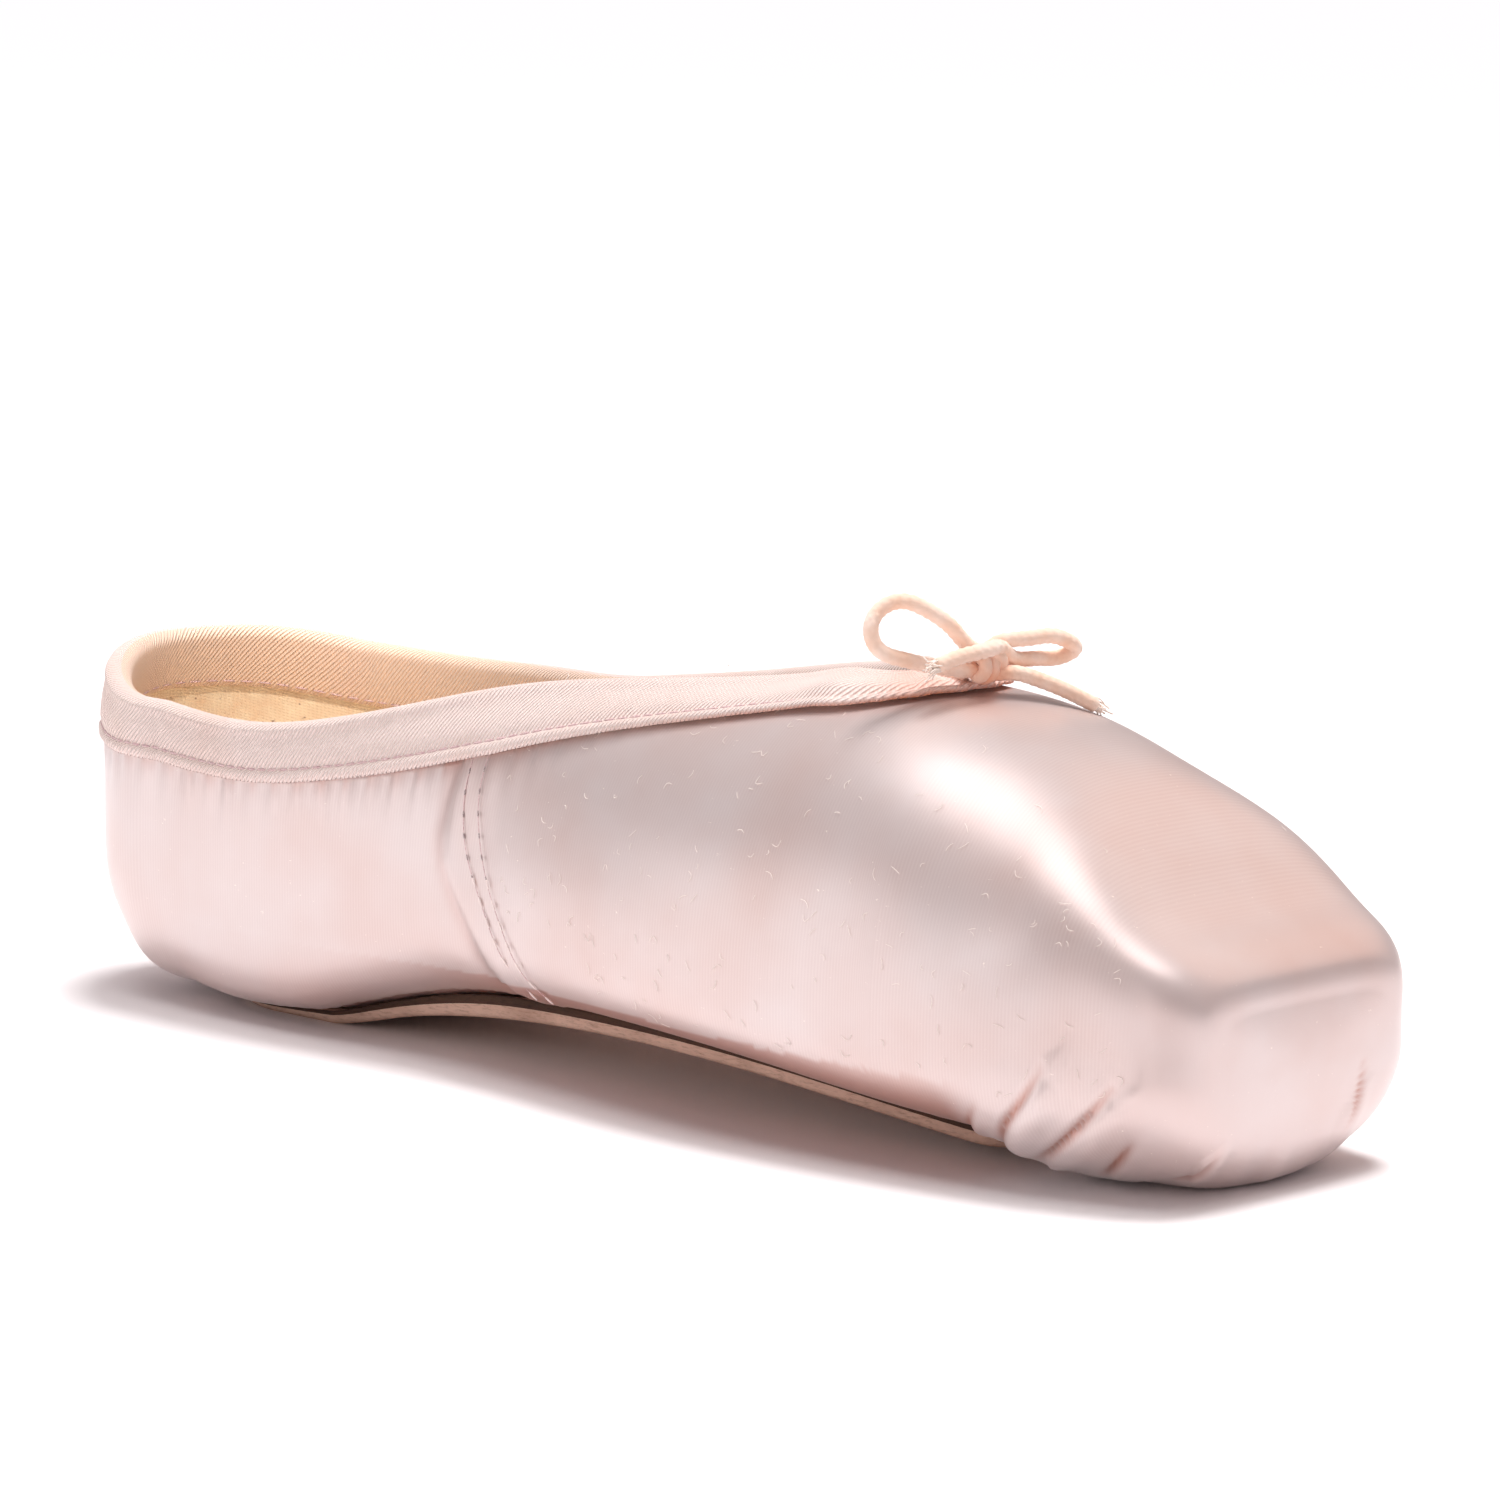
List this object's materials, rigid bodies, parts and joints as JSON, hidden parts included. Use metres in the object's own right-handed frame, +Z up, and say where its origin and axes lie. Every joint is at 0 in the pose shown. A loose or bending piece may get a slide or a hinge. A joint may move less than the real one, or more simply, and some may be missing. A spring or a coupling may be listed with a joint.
{
  "type": "pointe shoe",
  "caption": "Ballet pointe shoe of pale pink satin on a straight last, with a flat toe platform, a thin leather sole and a drawstring binding round the collar.",
  "frame": {"origin": "middle of the shoe's length and width, on the floor it stands on", "axes": "+X to the toe, +Y to the wearer's left, +Z up"},
  "size_m": [0.2384, 0.0748, 0.0786],
  "materials": {
    "outsole": "raw tan split leather, fibrous edge",
    "upper": "pale pink satin over canvas",
    "insole": "plain cotton over board",
    "binding": "woven cotton tape, matt",
    "drawstring": "braided cotton cord, matt"
  },
  "bodies": {
    "root": {"outsole": "outsole", "upper": "upper", "insole": "insole", "binding": "binding", "drawstring_left_loop": "drawstring", "drawstring_left_tail": "drawstring", "drawstring_right_loop": "drawstring", "drawstring_right_tail": "drawstring", "drawstring_knot": "drawstring"}
  },
  "joints": []
}
